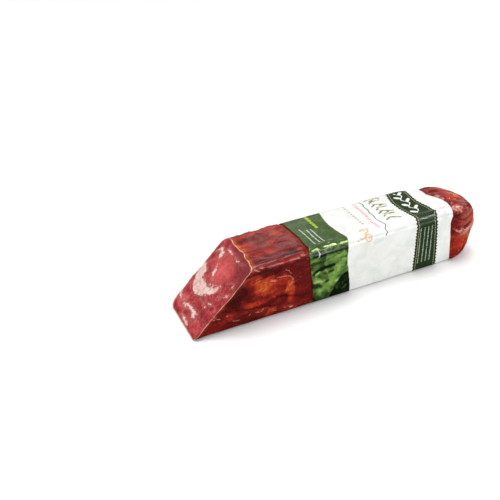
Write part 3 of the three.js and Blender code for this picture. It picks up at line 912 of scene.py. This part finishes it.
def printed_film():
    """Oriented polypropylene film, reverse-printed and heat-shrunk: glossy, taut, with solid inks under a
    clear face."""
    material, add, shader = new_material("printed_shrink_film")
    place = add("TexCoord", out="Object")
    x, a, shade = (
        add("Attribute", out="Fac", attribute_name=name) for name in ("print_x", "print_a", "shade"))
    flat = add("CombineXYZ", {"X": x, "Y": a})
    # The white ink is a little greyer in soft patches about 9 mm across.
    greyer_patches = add("TexNoise", {"Vector": flat, "Scale": 0.11, "Detail": 3.0, "Roughness": 0.55,
                             "Distortion": 0.8})
    colour = add("ValToRGB", {"Fac": greyer_patches}, stops=((0.30, "#dfe1dc"), (0.62, "#eff0ed")))
    # Leaves of the green band: blades and their shadows, broken up by lobes 6 mm across.
    lobes = add("TexNoise", {"Vector": flat, "Scale": 0.17, "Distortion": 1.2})
    shade = add("Math", {0: shade, 1: 0.5, 2: lobes}, operation="MULTIPLY_ADD")
    leaves = add("ValToRGB", {"Fac": shade}, stops=(
        (0.05, "#0b1807"), (0.24, "#1c300f"), (0.42, "#375026"), (0.56, "#5a7836"), (0.70, "#749a44"),
        (0.84, "#93b55c"), (0.98, "#bdd896")))
    # The band is plain dark green across the top.
    plain = add("MapRange", {"Value": a, "From Min": -1.0, "From Max": 0.6})
    back = add("MapRange", {"Value": a, "From Min": 36.0, "From Max": 38.0})
    plain = add("Math", {0: plain, 1: back}, operation="SUBTRACT")
    plain = add("Math", {0: plain, 1: 0.8}, operation="MULTIPLY")
    leaves = add("MixRGB", {"Fac": plain, "Color1": leaves, "Color2": "#3b5226"})
    # Each ink in its order, as (mark, ink, softness of its edge, strength, how far inside the mark).
    for name, ink, soft, most, inside in (
            ("leafy", leaves, 0.12, 1, 0), ("ribbon", "#1b2a15", 0.1, 1, 0),
            ("writing", "#dfe5da", 0.15, 0.9, 0), ("bar", "#a9bc33", 0.15, 0.9, 0),
            ("pale_line", "#c4dc8c", 0.15, 0.95, 0), ("gold", "#77742a", 0.15, 0.95, 0),
            ("grey", "#555c59", 0.15, 0.9, 0), ("pink", "#dd6f90", 0.2, 0.9, 0),
            ("brown", "#b08f6a", 0.2, 0.8, 0), ("slice_inside", "#f3dccb", 0.2, 0.8, 0),
            ("slice_ring", "#c98f4a", 0.2, 0.8, 0), ("rows", "#9aa09a", 0.15, 0.8, 0),
            ("ribbon", "#27381f", 0.15, 1, 0.7), ("stitches", "#b9b588", 0.12, 0.85, 0),
            ("vine", "#eef0ea", 0.12, 1, 0), ("tiny", "#b4c1af", 0.15, 0.85, 0)):
        measure = add("Attribute", out="Fac", attribute_name=name)
        laid = add("MapRange", {"Value": measure, "From Min": soft - inside, "From Max": -soft - inside,
                                "To Max": most})
        colour = add("MixRGB", {"Fac": laid, "Color1": colour, "Color2": ink})
    # Shrinkage draws the film into fine lines along the bar, 1.6 mm apart.
    drawn = add("Mapping", {"Vector": place, "Scale": (1 / 0.02, 1 / 0.0016, 1 / 0.0016)})
    lines = add("TexNoise", {"Vector": drawn, "Scale": 1.0, "Detail": 3.0, "Roughness": 0.6})
    relief = add("Bump", {"Height": lines, "Strength": 0.15, "Distance": 0.0003})
    rough = add("MapRange", {"Value": lines, "From Min": 0.3, "From Max": 0.7, "To Min": 0.17,
                             "To Max": 0.28})
    feed(shader, {"Base Color": colour, "Roughness": rough, "Normal": relief, "IOR": 1.49})
    return material


label.data.materials.append(printed_film())
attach(label, "root")
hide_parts("label_sleeve")


# -------------------------------- table, light and camera
# The sausage lies on a table of white laminate under a large silk, lit from above and a little behind,
# with small soft boxes for the gloss of its cut, its front and its gathered end.

def white_table():
    """White laminate: matt, faintly uneven."""
    material, add, shader = new_material("white_laminate")
    place = add("TexCoord", out="Object")
    cloud = add("TexNoise", {"Vector": place, "Scale": 3.0})
    tone = add("ValToRGB", {"Fac": cloud}, stops=((0.0, "#f6f6f6"), (1.0, "#f9f9f9")))
    feed(shader, {"Base Color": tone, "Roughness": 0.7})
    return material


TABLE_REACH = 40.0          # metres each way, so that it runs on to its horizon
TABLE_GAP = 0.0002          # keeps it clear of the flat underside

table_mesh = bmesh.new()
bmesh.ops.create_grid(table_mesh, x_segments=1, y_segments=1, size=TABLE_REACH)
bmesh.ops.translate(table_mesh, verts=table_mesh.verts, vec=(0, 0, -TABLE_GAP))
table = finish_mesh("table", table_mesh)
table.data.materials.append(white_table())
table.visible_glossy = False    # polarised out of the gloss, as a studio does with a dark object

# A white cyclorama: brightest at the horizon, dimmer overhead, dark below the table.
world = bpy.data.worlds.new("studio")
world.use_nodes = True
add_to_sky = partial(add_node, world.node_tree)
outlook = add_to_sky("TexCoord", out="Generated")
height = add_to_sky("SeparateXYZ", {"Vector": outlook}, out="Z")
height = add_to_sky("MapRange", {"Value": height, "From Min": -1.0})
sky = add_to_sky("ValToRGB", {"Fac": height}, stops=(
    (0.485, "#262626"), (0.497, "#f0f0f0"), (0.60, "#c4c4c4"), (0.70, "#4c4c4c"), (1.0, "#989898")))
feed(world.node_tree.nodes["Background"], {"Color": sky, "Strength": 1.0})
bpy.context.scene.world = world


def soft_box(name, place, aim, breadth, height, power):
    """A studio light that faces aim."""
    lamp = bpy.data.lights.new(name, "AREA")
    lamp.shape = "RECTANGLE"
    lamp.size = breadth
    lamp.size_y = height
    lamp.energy = power
    made = stand(name, lamp)
    made.location = place
    made.rotation_euler = (Vector(aim) - Vector(place)).to_track_quat("-Z", "Y").to_euler()


# The key is a silk over the whole set, so the table stays evenly white to its horizon.
SILK_FROM = Vector((0.06, 0.24, 0.90))
silk = bpy.data.lights.new("overhead_silk", "SUN")
silk.energy = 2.45
silk.angle = radians(40)
stand("overhead_silk", silk).rotation_euler = SILK_FROM.to_track_quat("Z", "Y").to_euler()
soft_box("back_light", (0.51, 0.97, 0.70), (0, 0, 0), 0.18, 0.14, 0.15)
soft_box("front_strip", (0.40, -0.78, 0.55), (0, 0, 0), 0.10, 0.45, 1.6)
soft_box("front_light", (-0.55, -0.75, 0.75), (0, 0, 0), 0.22, 0.22, 1.7)
soft_box("tail_light", (0.42, -0.26, 0.42), (0.085, 0, 0.02), 0.12, 0.12, 1.0)

# The camera looks down at the cut end, past a point that leaves the sausage right of the middle.
LOOK_AZIMUTH = radians(-27.8)
LOOK_ELEVATION = radians(32.53)
LOOK_DISTANCE = 0.570
LOOK_AT = Vector((LABEL_START - 18.5, 19.1, 20.3)) * MM
level = cos(LOOK_ELEVATION)
away = Vector((sin(LOOK_AZIMUTH) * level, -cos(LOOK_AZIMUTH) * level, sin(LOOK_ELEVATION)))
lens = bpy.data.cameras.new("camera")
lens.lens = 72.0
lens.sensor_width = 36.0
camera = stand("camera", lens)
camera.location = LOOK_AT + away * LOOK_DISTANCE
camera.rotation_euler = (-away).to_track_quat("-Z", "Y").to_euler()
bpy.context.scene.camera = camera
bpy.context.scene.view_settings.view_transform = "Standard"
